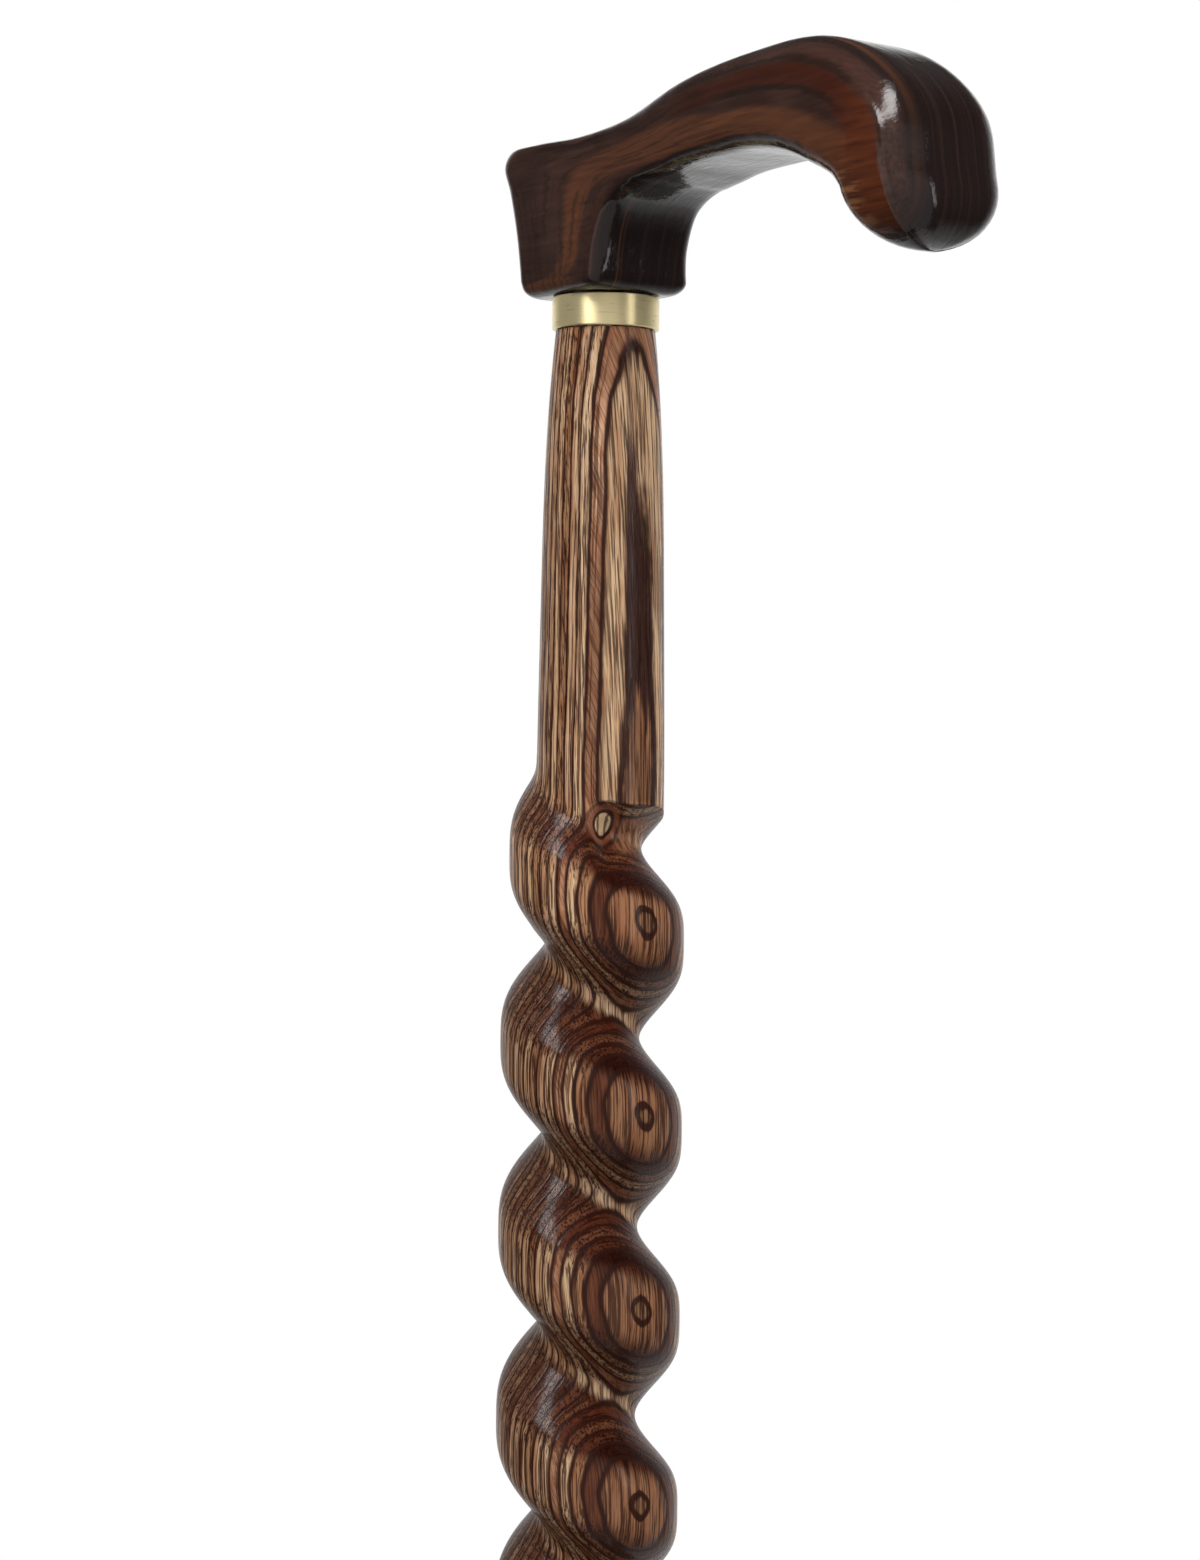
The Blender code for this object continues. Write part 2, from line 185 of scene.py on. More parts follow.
def smooth(value):
    """Ease from 0 to 1."""
    value = min(max(value, 0.0), 1.0)
    return value * value * (3.0 - 2.0 * value)


def mix(first, second, share):
    return first + (second - first) * share


def between(value, low, high):
    """Eased share of the way from low to high."""
    return smooth((value - low) / (high - low))


def tone(red, green, blue):
    """Linear colour from the values that a picture shows, 0 to 255."""
    def linear(value):
        value /= 255.0
        return value / 12.92 if value <= 0.04045 else ((value + 0.055) / 1.055) ** 2.4
    return linear(red), linear(green), linear(blue)


class Nodes:
    """Short names for making the shader nodes of one tree."""

    def __init__(self, tree):
        self.tree = tree

    def put(self, socket, value):
        if isinstance(value, bpy.types.NodeSocket):
            self.tree.links.new(value, socket)
        else:
            socket.default_value = value

    def node(self, kind, *values, **settings):
        made = self.tree.nodes.new("ShaderNode" + kind)
        for label, value in settings.items():
            setattr(made, label, value)
        for at, value in enumerate(values):
            self.put(made.inputs[at], value)
        return made

    def math(self, operation, *values):
        return self.node("Math", *values, operation=operation).outputs[0]

    def times(self, first, *others):
        for value in others:
            first = self.math("MULTIPLY", first, value)
        return first

    def plus(self, first, second):
        return self.math("ADD", first, second)

    def minus(self, first, second):
        return self.math("SUBTRACT", first, second)

    def over(self, first, second):
        return self.math("DIVIDE", first, second)

    def line(self, value, slope, start):
        """The value times the slope, added to the start."""
        return self.math("MULTIPLY_ADD", value, slope, start)

    def apart(self, first, second):
        """How far apart two values are."""
        return self.math("ABSOLUTE", self.minus(first, second))

    def split(self, vector):
        return self.node("SeparateXYZ", vector).outputs

    def join(self, *values):
        return self.node("CombineXYZ", *values).outputs[0]

    def texture(self, place, detail, roughness):
        unused, scale = 0.0, 1.0
        made = self.node("TexNoise", place, unused, scale, detail, roughness, normalize=True)
        return made.outputs[0]

    def noise(self, *axes, detail=2.0, roughness=0.5):
        """Noise over up to three axes: (value, factor), (value, factor, start) or (value,)."""
        place = [self.line(*axis) if len(axis) == 3 else self.times(*axis) for axis in axes]
        return self.texture(self.join(*place), detail, roughness)

    def ease(self, value, low, high, start=0.0, end=1.0):
        """Smooth change from the start, at low, to the end, at high."""
        return self.node("MapRange", value, low, high, start, end,
                         interpolation_type="SMOOTHSTEP").outputs[0]

    def length(self, first, second):
        squares = [self.math("POWER", value, 2.0) for value in (first, second)]
        return self.math("SQRT", self.plus(*squares))

    def near(self, value, middle, reach):
        """1 at the middle, easing to 0 at the reach on either side."""
        return self.ease(self.apart(value, middle), reach, reach * 0.4)

    def patch(self, first, second, spot):
        """1 in the middle of a spot, 0 outside it: its place and reach by either value."""
        return self.times(self.near(first, *spot[:2]), self.near(second, *spot[2:]))

    def ramp(self, value, stops, mode="LINEAR"):
        made = self.node("ValToRGB", value)
        band = made.color_ramp
        band.interpolation = mode
        while len(band.elements) < len(stops):
            band.elements.new(0.5)
        for element, (place, color) in zip(band.elements, stops):
            element.position = place
            element.color = (*color, 1.0)
        return made.outputs[0]

    def curve(self, value, points):
        """Smooth curve through (value, result) points, both 0 to 1."""
        made = self.node("FloatCurve", 1.0, value)
        line = made.mapping.curves[0].points
        while len(line) < len(points):
            line.new(0.5, 0.5)
        for knot, place in zip(line, points):
            knot.location = place
        made.mapping.update()
        return made.outputs[0]

    def shade(self, color, factor):
        made = self.node("VectorMath", color, operation="SCALE")
        self.put(made.inputs["Scale"], factor)
        return made.outputs[0]

    def blend(self, share, first, second, mode="MIX"):
        made = self.node("Mix", data_type="RGBA", blend_type=mode)
        self.put(made.inputs[0], share)
        for socket, value in ((made.inputs[6], first), (made.inputs[7], second)):
            self.put(socket, (*value, 1.0) if isinstance(value, tuple) else value)
        return made.outputs[2]

    def bump(self, height, distance, under=None):
        made = self.node("Bump")
        self.put(made.inputs["Height"], height)
        self.put(made.inputs["Distance"], distance)
        if under is not None:
            self.put(made.inputs["Normal"], under)
        return made.outputs[0]


class Surface(Nodes):
    """A material with one principled shader."""

    def __init__(self, name, **inputs):
        self.material = bpy.data.materials.new(name)
        self.material.use_nodes = True
        super().__init__(self.material.node_tree)
        self.shader = self.tree.nodes["Principled BSDF"]
        for label, value in inputs.items():
            self.shader.inputs[label.replace("_", " ")].default_value = value
        coordinates = self.node("TexCoord").outputs
        self.place = coordinates["Object"]
        self.normal = coordinates["Normal"]

    def set(self, label, value):
        self.put(self.shader.inputs[label], value)

    def grain(self, x, y, z, detail=2.0, roughness=0.5):
        """Noise that is stretched along the piece's own axes."""
        place = self.node("VectorMath", self.place, (x, y, z), operation="MULTIPLY").outputs[0]
        return self.texture(place, detail, roughness)


# Dull wood under clear lacquer, for both woods
LACQUER = {"Roughness": 0.5, "Specular_IOR_Level": 0.05, "Coat_Roughness": 0.09, "Coat_IOR": 1.35}

# Shaft material: thin veneers that lie in planes across X. Widths and places across are in
# millimetres, heights in metres. An easing is written as from, to, and the values there

MILLIMETRE = 0.001
VENEER = 1.73  # thickness
FIRST_JOINT = 16.40  # outermost glue line on the +X side
CORE_JOINT = 18.0  # the small ring inside the oval on each lobe's crest
CORE_RISE = (0.715, 0.750, -0.07, 0.04)  # it is larger on the first lobe
CORE_BOW = 0.017
TILT = (0.850, 0.866, 0.052, 0.0)  # the veneers' turn to one side
TILT_BOW = 0.008
LEAN_START = (0.758, 0.782)
PINCH = (0.762, 0.782, 0.0, 0.34)  # how much the innermost figure is narrowed
PINCH_DEPTH = (11.6, 12.9)
CREST_SAG = 0.34  # the veneers' sag under a lobe's crest
CREST_SHARE = 0.24  # share of a turn that it reaches from the crest
TWIST_TONE = (0.735, 0.755, 0.88, 1.09)  # brightness low down and near the top

FRONT = (7.0, 8.0)  # x where the heartwood's marks come in
HEART = (0.7985, 0.8600)  # heights between which the nose side shows heartwood
HEART_MIDDLE = (0.848, 0.812, -1.6, 0.1)
HEART_HALF = (HEART[1], HEART[1] - 0.043, 0.2, 2.6)
FLAME = (3.0, 8.0)  # middle and reach of the brown flame under it
FLAME_TONE = 0.62
SLANTED = (0.20, 0.34)  # slants between which a veneer counts as slanted
SLANTED_START = (0.775, 0.785)
SLANTED_TONE = (0.820, 0.834, -0.30, 0.0)  # brightness that it loses low down
PALE_STRETCH = (0.8455, 0.017)  # middle and reach of its pale stretch
# Two spots by Y and by height, each a middle and a reach
GRAZED = (0.0, 4.5, 0.8465, 0.008)  # where a glue line lies along the surface, unseen
POCKET = (2.0, 6.5, 0.7690, 0.0045)  # the streaky hollow under the shelf
KNOT = (-5.8, 0.7716)  # the small knot beside the groove's start: y, height
KNOT_SIZE = (2.3, 2.7)
KNOT_RINGS = ((1.02, 0.95), (1.75, 0.6))  # size and strength of the dark rings round it
LAYER_SHIFT = 7.3  # sets each veneer's fibres apart from the next one's

GLUE = tone(40, 15, 7)
STAINED = tone(150, 96, 70)
PORE = tone(44, 18, 8)
GROWTH = tone(74, 38, 20)
CLOUD = tone(214, 190, 178)
END_GRAIN = tone(118, 74, 54)
PALE = tone(222, 178, 144)
HEARTWOOD = tone(80, 50, 38)
DEEP_HEART = tone(48, 29, 23)
CORE_WOOD = tone(126, 90, 64)
POCKET_WOOD = tone(150, 104, 74)
KNOT_WOOD = tone(190, 158, 124)
KNOT_BARK = tone(112, 62, 40)

# From the +X side inwards: each veneer's colour for tone(), the width of the dark joint under
# it, and how far its fibres slant, across by along
VENEERS = (
    ((150, 106, 76), 0.34, 0.02), ((106, 62, 40), 0.40, 0.05), ((160, 116, 84), 0.38, 0.02),
    ((200, 166, 130), 0.36, 0.05), ((166, 120, 90), 0.40, 0.34), ((200, 168, 134), 0.24, 0.03),
    ((186, 152, 120), 0.34, 0.00), ((148, 110, 80), 0.26, 0.09), ((184, 150, 116), 0.34, 0.02),
    ((162, 126, 96), 0.32, 0.05), ((178, 144, 112), 0.34, 0.00), ((146, 106, 76), 0.30, 0.04),
    ((182, 148, 114), 0.30, 0.02), ((156, 120, 90), 0.34, 0.10), ((186, 152, 118), 0.30, 0.00),
    ((134, 94, 68), 0.32, 0.05), ((182, 148, 114), 0.34, 0.02), ((158, 120, 90), 0.30, 0.20),
    ((176, 140, 108), 0.32, 0.03), ((140, 100, 72), 0.36, 0.00), ((166, 130, 98), 0.30, 0.04),
    ((112, 70, 48), 0.40, 0.02), ((150, 110, 80), 0.34, 0.02),
)

# How far the straight section's veneers lean towards the nose, at each height
LEAN = ((0.755, 0.49), (0.7883, 0.45), (0.800, 0.43), (0.8227, 0.55), (0.8377, 0.60),
        (0.8504, 0.98), (0.8568, 0.90), (0.8618, 0.60), (0.8645, 0.50), (0.8694, 0.48),
        (0.8733, 0.45))


class Laminate(Surface):
    """The shaft's material, with the places that its figure is drawn by."""

    def __init__(self):
        super().__init__("laminate", Coat_Weight=0.45, **LACQUER)
        metres = self.split(self.place)
        self.x, self.y, self.along = [self.over(metres[at], MILLIMETRE) for at in range(3)]
        self.z = metres[2]
        facing = self.split(self.normal)
        self.facing_up = facing[2]
        self.facing_nose = self.math("ABSOLUTE", facing[0])
        self.flat = self.ease(self.facing_nose, 0.78, 0.92)
        self.off_flat = self.minus(1.0, self.flat)
        self.depth = veneer_depth(self)
        self.count = self.over(self.minus(FIRST_JOINT, self.depth), VENEER)
        self.layer = self.math("MAXIMUM", self.plus(self.math("FLOOR", self.count), 1.0), 0.0)
        self.slant = layer_lookup(self, self.layer, [(slant,) * 3 for color, joint, slant in VENEERS])
        self.across = self.line(self.slant, self.along, self.y)
        self.start = self.times(self.layer, LAYER_SHIFT)


def veneer_depth(g):
    """Depth across the veneers: they lean, tilt and wave a little along the shaft."""
    low, high = LEAN[0][0], LEAN[-1][0]
    lean = g.curve(g.node("MapRange", g.z, low, high).outputs[0],
                   [((level - low) / (high - low), lean / 2) for level, lean in LEAN])
    tilt = g.times(g.y, g.line(g.y, TILT_BOW, g.ease(g.z, *TILT)))
    depth = g.line(g.line(lean, 2.0, tilt), g.ease(g.z, *LEAN_START), g.x)
    wave = g.noise((g.x, 0.05), (g.y, 0.10), (g.z, 70.0), detail=1.0)
    ripple = g.noise((g.x, 0.4), (g.y, 0.6), (g.z, 260.0))
    for bumps, height in ((wave, 0.4), (ripple, 0.18)):
        depth = g.line(g.minus(bumps, 0.5), height, depth)
    pinch = g.times(g.ease(depth, *PINCH_DEPTH), g.ease(g.z, *PINCH))
    return g.minus(g.minus(depth, pinch), crest_sag(g))


def crest_sag(g):
    """How far the veneers sag under each lobe's crest, so that their edges show as ovals."""
    angle = g.math("ARCTAN2", g.y, g.x)
    level = g.over(g.minus(g.z, GROOVE_LEVEL), PITCH)
    turns = g.plus(g.plus(g.over(angle, 2.0 * pi), level), 0.5 - GROOVE_START / (2.0 * pi))
    off_crest = g.math("PINGPONG", turns, 0.5)
    swell = g.math("SINE", g.times(off_crest, pi / CREST_SHARE))
    inside = g.ease(g.z, GROOVE_LEVEL + 0.006, GROOVE_LEVEL - 0.002)
    return g.times(g.math("POWER", swell, 2.0), g.math("LESS_THAN", off_crest, CREST_SHARE),
                   g.math("COSINE", angle), inside, CREST_SAG)


def make_laminate():
    g = Laminate()
    color = layer_lookup(g, g.layer, [tone(*color) for color, joint, slant in VENEERS])
    color, heart = add_heart(g, color)
    color = add_figure(g, color)
    pores = fibres(g)
    color = g.blend(g.times(pores, g.ease(g.slant, 0.12, 0.34, 0.85, 0.50)), color, PORE)
    color = g.blend(g.times(heart, 0.30), color, DEEP_HEART)
    # Stained end grain on the slopes, weaker where they face ±Y, which there is partly a painted sheen
    color = g.blend(end_grain_with_painted_sheen(g), color, END_GRAIN, "MULTIPLY")
    color = add_core(g, color, pores)
    color, joint = add_joints(g, color, heart)
    streaky = g.blend(g.times(pores, 0.85), POCKET_WOOD, GROWTH)
    color = g.blend(g.times(g.patch(g.y, g.z, POCKET), 0.7), color, streaky)
    color, nub = add_knot(g, color, pores)
    g.set("Base Color", color)
    relief = g.line(joint, 0.6, g.times(pores, 0.5))
    for label, sunk in (("Normal", 0.00006), ("Coat Normal", 0.00004)):
        g.set(label, g.bump(relief, -sunk, under=g.bump(nub, 0.0007)))
    return g.material


def layer_lookup(g, layer, values):
    """The value of the veneer that has this number."""
    cell = 1.0 / len(values)
    stops = [(at * cell, value) for at, value in enumerate(values)]
    return g.ramp(g.times(g.plus(layer, 0.5), cell), stops, "CONSTANT")


def add_figure(g, color):
    """Changes of tone along the shaft, soft clouds in it, and growth lines on the edges."""
    color = g.shade(color, g.ease(g.z, *TWIST_TONE))
    slanted = g.times(g.ease(g.slant, *SLANTED), g.ease(g.z, *SLANTED_START))
    color = g.shade(color, g.line(slanted, g.ease(g.z, *SLANTED_TONE), 1.0))
    color = g.blend(g.times(slanted, g.near(g.z, *PALE_STRETCH), 0.8), color, PALE)
    clouds = g.noise((g.x, 0.5, g.start), (g.across, 0.8), (g.along, 0.06), detail=3.0, roughness=0.6)
    color = g.blend(g.ease(clouds, 0.60, 0.30), color, CLOUD, "MULTIPLY")
    growth = g.noise((g.depth, 3.2), (g.y, 0.16), (g.along, 0.03))
    return g.blend(g.times(g.ease(growth, 0.52, 0.60), g.off_flat, 0.8), color, GROWTH)


def fibres(g):
    """Dark fibres and pores: dense on the veneers' edges, longer where their faces show."""
    aside = g.line(g.slant, g.times(g.along, 0.75), g.x)
    on_edge, on_face = [g.noise(*axes, detail=3.0, roughness=0.6) for axes in (
        ((aside, 2.8, g.start), (g.across, 2.2), (g.along, 0.055)),
        ((g.x, 0.25, g.start), (g.across, 2.6), (g.along, 0.07)))]
    outermost = g.math("LESS_THAN", g.layer, 0.5)
    bold = g.times(g.ease(on_face, 0.48, 0.54), outermost)
    on_face = g.times(g.math("MAXIMUM", g.ease(on_face, 0.43, 0.59), bold), g.flat)
    return g.plus(g.times(g.ease(on_edge, 0.50, 0.58), g.off_flat), on_face)


def end_grain_with_painted_sheen(g):
    """Slopes that cut across the fibres take up more stain. This is stronger on upward-facing slopes
    and weaker where a slope faces ±Y, where the lighter wood left is partly a painted sheen.
    """
    sloped = g.ease(g.math("ABSOLUTE", g.facing_up), 0.08, 0.50)
    upper = g.ease(g.facing_up, -0.1, 0.1, 0.7, 0.95)
    # Less where the slope faces ±Y: partly the wood, partly a painted sheen
    return g.times(sloped, upper, g.ease(g.facing_nose, 0.15, 0.5, 0.70, 1.0))


def add_joints(g, color, heart):
    """Dark glue lines of uneven width, and the stained wood beside them."""
    nearest = g.math("MAXIMUM", g.math("ROUND", g.count), 0.0)
    away = g.times(g.apart(g.count, nearest), VENEER)
    widths = layer_lookup(g, nearest, [(joint,) * 3 for color, joint, slant in VENEERS])
    uneven = g.grain(500.0, 500.0, 160.0)
    half = g.times(widths, g.plus(g.times(uneven, 0.9), 0.15))
    clear = g.times(g.minus(1.0, g.patch(g.y, g.z, GRAZED)), g.line(heart, -0.5, 1.0))
    joint = g.times(g.ease(g.over(away, half), 1.6, 0.4), clear)
    beside = g.times(g.ease(away, 0.55, 0.10), clear)
    color = g.blend(g.times(beside, 0.45), color, STAINED, "MULTIPLY")
    return g.blend(g.times(joint, 0.95), color, GLUE), joint


def add_heart(g, color):
    """The dark streak of heartwood on the nose side: pointed above, parted by a flame below."""
    ragged = g.minus(g.noise((g.y, 1.6), (g.z, 22.0), detail=3.0), 0.5)
    off_middle = g.apart(g.y, g.ease(g.z, *HEART_MIDDLE))
    away = g.minus(off_middle, g.line(ragged, 1.8, g.ease(g.z, *HEART_HALF)))
    level = g.line(off_middle, 0.004, g.line(ragged, 0.012, g.z))
    front = g.ease(g.x, *FRONT)
    dark = g.times(g.ease(away, 0.3, -0.3), g.ease(level, HEART[0], HEART[0] + 0.003), front)
    flame = g.times(g.near(g.y, *FLAME), g.ease(level, HEART[0] + 0.002, HEART[0] - 0.006),
                    g.ease(g.z, GROOVE_LEVEL - 0.001, GROOVE_LEVEL + 0.001), front)
    color = g.shade(color, g.ease(flame, 0.0, 1.0, 1.0, FLAME_TONE))
    return g.blend(dark, color, HEARTWOOD), dark


def add_core(g, color, pores):
    """The small oval that the outermost veneer leaves on each lobe's crest."""
    level = g.plus(g.minus(g.depth, CORE_JOINT), g.ease(g.z, *CORE_RISE))
    level = g.line(g.times(g.y, g.y), -CORE_BOW, level)
    color = g.blend(g.ease(level, 0.0, 0.1), color, g.blend(g.times(pores, 0.9), CORE_WOOD, PORE))
    return g.blend(g.ease(g.apart(level, 0.05), 0.15, 0.07, 0.0, 0.95), color, GLUE)


def add_knot(g, color, pores):
    """Rings round the small raised knot beside the groove's start."""
    aside = g.over(g.minus(g.y, KNOT[0]), KNOT_SIZE[0])
    above = g.over(g.minus(g.z, KNOT[1]), KNOT_SIZE[1] * MILLIMETRE)
    reach = g.plus(g.length(aside, above), g.ease(g.x, 7.0, 5.0, 0.0, 9.0))
    dashes = g.ease(g.math("PINGPONG", g.line(pores, 0.12, aside), 0.5), 0.28, 0.42)
    inside = g.blend(g.times(dashes, 0.8), KNOT_WOOD, PORE)
    color = g.blend(g.ease(reach, 1.75, 1.35, 0.0, 0.8), color, KNOT_BARK)
    color = g.blend(g.ease(reach, 1.0, 0.85), color, inside)
    for ring, strength in KNOT_RINGS:
        color = g.blend(g.ease(g.apart(reach, ring), 0.22, 0.08, 0.0, strength), color, GLUE)
    return color, g.ease(reach, 1.3, 0.5)


# Handle material: dark walnut, its layers in planes across Y. On the flat sides the figure
# follows the handle: places are shares of the way along it and across it

BARK = tone(47, 29, 23)
DUSK = tone(58, 37, 30)
SOOT = tone(27, 18, 16)
TAWNY = tone(82, 48, 29)
RUST = tone(56, 24, 13)
AMBER = tone(75, 35, 16)
STRAW = tone(104, 68, 42)
LINE = tone(34, 21, 17)

# (along, middle across, half width across, strength) of the light and the orange bands
LIGHT_BAND = (
    (0.00, 0.60, 0.36, 0.7), (0.05, 0.42, 0.14, 0.6), (0.10, 0.30, 0.10, 1.0),
    (0.25, 0.28, 0.10, 0.9), (0.34, 0.28, 0.13, 0.8), (0.44, 0.32, 0.16, 0.7),
    (0.52, 0.36, 0.22, 0.8), (0.58, 0.34, 0.24, 0.8), (0.64, 0.28, 0.18, 0.9),
    (0.70, 0.23, 0.14, 1.0), (0.80, 0.21, 0.14, 0.9), (0.88, 0.22, 0.18, 0.9),
    (0.94, 0.24, 0.28, 1.0), (1.00, 0.22, 0.30, 1.0),
)
ORANGE_BAND = (
    (0.00, 0.62, 0.08, 0.0), (0.60, 0.62, 0.08, 0.0), (0.65, 0.62, 0.09, 0.7),
    (0.72, 0.63, 0.10, 0.9), (0.80, 0.65, 0.11, 0.9), (0.86, 0.62, 0.13, 1.0),
    (0.91, 0.58, 0.16, 1.0), (0.95, 0.50, 0.20, 1.0), (1.00, 0.46, 0.22, 0.9),
)

# (middle across, half width, start along) of the fine dark marks between the bands
DARK_MARKS = ((0.09, 0.022, 0.45), (0.535, 0.03, 0.66), (0.79, 0.035, 0.36))

# (place across Y, strength) of the light-brown layers that show on edge
LIGHT_LAYERS = ((-0.0061, 0.6), (-0.0052, 0.25), (0.0110, 0.4))
LAYER_TURN = 0.026  # how far these layers lie askew, Y by X

# How the nose's sides fall away towards its front: share across, and height
NOSE_FALL = ((0.0, 1.0), (0.45, 1.0), (0.60, 0.87), (0.75, 0.475), (0.88, 0.245), (1.0, 0.31))
NOSE_FALL_START = (0.60, 0.78)
NOSE_FALL_DEPTH = 0.0027


def make_walnut():
    g = Surface("walnut", Coat_Weight=1.0, **LACQUER)
    along, across = [g.node("Attribute", attribute_name=label).outputs["Fac"]
                     for label in ("along", "across")]
    facing = g.split(g.normal)
    on_side = g.ease(g.math("ABSOLUTE", facing[1]), 0.55, 0.86)
    g.set("Base Color", g.blend(on_side, layer_edges(g, along), side_figure(g, along, across)))

    pores = g.grain(300.0, 2200.0, 2200.0)
    fall = g.minus(g.curve(across, NOSE_FALL), 1.0)
    fall = g.bump(g.times(fall, g.ease(along, *NOSE_FALL_START)), NOSE_FALL_DEPTH)
    g.set("Normal", g.bump(pores, 0.00002, under=fall))
    waves = g.grain(130.0, 130.0, 130.0, detail=1.0)
    dents = g.grain(380.0, 480.0, 480.0, detail=3.0, roughness=0.6)
    coat = g.bump(dents, 0.00009, under=g.bump(waves, 0.00014, under=fall))
    underside = g.ease(facing[2], -0.3, -0.8)
    streaks = g.grain(160.0, 1300.0, 160.0)
    g.set("Coat Normal", g.bump(g.times(streaks, underside), 0.00008, under=coat))
    return g.material


def side_figure(g, along, across):
    """The figure on the flat sides: two bands that follow the handle, with fine dark marks."""
    warp = g.grain(60.0, 60.0, 90.0)
    fringe = g.grain(90.0, 700.0, 900.0, detail=3.0, roughness=0.6)
    wavy = across
    for bends in (warp, fringe):
        wavy = g.line(g.minus(bends, 0.5), 0.10, wavy)
    nose = g.ease(along, 0.82, 0.95)
    color = g.blend(g.ease(warp, 0.35, 0.65), BARK, DUSK)
    light = figure_band(g, along, wavy, LIGHT_BAND, 0.35)
    orange = figure_band(g, along, wavy, ORANGE_BAND, 0.25)
    color = g.blend(light, color, g.blend(g.times(nose, 0.6), TAWNY, AMBER))
    color = g.blend(orange, color, g.blend(nose, RUST, AMBER))
    for middle, half, start in DARK_MARKS:
        mark = g.times(g.ease(g.apart(wavy, middle), half * 1.5, half * 0.4),
                       g.ease(along, start, start + 0.06), g.ease(along, 0.90, 0.84, 0.0, 0.8))
        color = g.blend(mark, color, LINE)
    streaks = g.times(g.ease(along, 0.93, 1.0), g.ease(fringe, 0.50, 0.62), g.ease(across, 0.45, 0.25))
    color = g.blend(streaks, color, STRAW)
    lines = g.noise((along, 5.0), (wavy, 20.0), detail=1.0)
    lines = g.times(g.ease(lines, 0.48, 0.64), g.ease(along, 0.85, 0.6, 0.0, 0.5))
    color = g.blend(lines, color, LINE)
    fine = g.grain(90.0, 2600.0, 1100.0)
    contrast = g.times(g.line(nose, 0.25, 0.20), 4.0)
    return g.shade(color, g.line(g.minus(fine, 0.5), contrast, 1.0))


def figure_band(g, along, across, rows, edge):
    """1 inside a band of the figure, 0 outside it."""
    middle, half, strength = [g.curve(along, [(row[0], row[at]) for row in rows])
                              for at in (1, 2, 3)]
    away = g.over(g.apart(across, middle), half)
    return g.times(g.ease(away, 1.0 + edge, 1.0 - edge), strength)


def layer_edges(g, along):
    """The layers seen on edge: fine dark lines, and thin light-brown ones."""
    metres = g.split(g.place)
    layers = g.grain(14.0, 1700.0, 14.0, detail=3.0, roughness=0.6)
    color = g.ramp(layers, ((0.36, SOOT), (0.52, tone(29, 19, 17)), (0.70, tone(44, 29, 24))))
    sway = g.grain(40.0, 40.0, 40.0, detail=1.0)
    depth = g.line(g.minus(sway, 0.5), 0.0012, metres[1])
    depth = g.line(metres[0], LAYER_TURN, depth)
    spread = g.ease(along, 0.3, 0.6, 0.00028, 0.0006)
    shown = g.ease(along, 0.80, 0.97, 1.0, 0.25)
    for level, strength in LIGHT_LAYERS:
        away = g.over(g.apart(depth, level), spread)
        color = g.blend(g.times(g.ease(away, 1.3, 0.3, 0.0, strength), shown), color, TAWNY)
    return color


def make_brass():
    g = Surface("brass", Metallic=0.7, Roughness=0.46, Anisotropic=0.9, Anisotropic_Rotation=0.25)
    metres = g.split(g.place)
    around = g.times(g.math("ARCTAN2", metres[1], metres[0]), COLLAR_DIAMETER / 2)
    up = metres[2]
    brushed = g.noise((around, 40.0), (up, 16000.0), detail=3.0)
    scratches = g.noise((around, 110.0), (up, 5200.0), (4.0,))
    stains = g.noise((around, 300.0), (up, 1800.0), (9.0,), detail=3.0, roughness=0.6)
    color = g.blend(brushed, tone(234, 215, 160), tone(248, 232, 184))
    color = g.blend(g.ease(scratches, 0.62, 0.72, 0.0, 0.5), color, tone(130, 104, 60))
    color = g.blend(g.ease(stains, 0.60, 0.74, 0.0, 0.45), color, tone(140, 112, 66))
    g.set("Base Color", color)
    g.set("Roughness", g.ease(brushed, 0.2, 0.8, 0.38, 0.46))
    g.set("Normal", g.bump(brushed, 0.000006))
    g.set("Tangent", g.node("Tangent", direction_type="RADIAL", axis="Z").outputs[0])
    return g.material


def make_steel():
    """Plain steel with a fine grain and some dull spots."""
    g = Surface("steel", Metallic=1.0, Roughness=0.34)
    grain = g.grain(900.0, 900.0, 4000.0, detail=3.0)
    spots = g.grain(260.0, 260.0, 260.0, detail=3.0)
    color = g.blend(grain, tone(158, 160, 162), tone(198, 200, 202))
    g.set("Base Color", g.blend(g.ease(spots, 0.6, 0.8, 0.0, 0.5), color, tone(120, 112, 102)))
    g.set("Roughness", g.ease(grain, 0.2, 0.8, 0.28, 0.45))
    g.set("Normal", g.bump(grain, 0.00001))
    return g.material


def make_rubber():
    g = Surface("rubber", Roughness=0.62)
    cloudy = g.grain(120.0, 120.0, 120.0, detail=4.0, roughness=0.6)
    grain = g.grain(2600.0, 2600.0, 2600.0)
    worn = g.times(g.ease(g.split(g.place)[2], 0.006, 0.0, 0.0, 0.6), g.ease(cloudy, 0.35, 0.65))
    color = g.blend(cloudy, tone(32, 32, 33), tone(52, 51, 50))
    g.set("Base Color", g.blend(worn, color, tone(104, 98, 90)))
    g.set("Roughness", g.ease(cloudy, 0.3, 0.7, 0.5, 0.74))
    g.set("Normal", g.bump(grain, 0.00004))
    return g.material


# Meshes

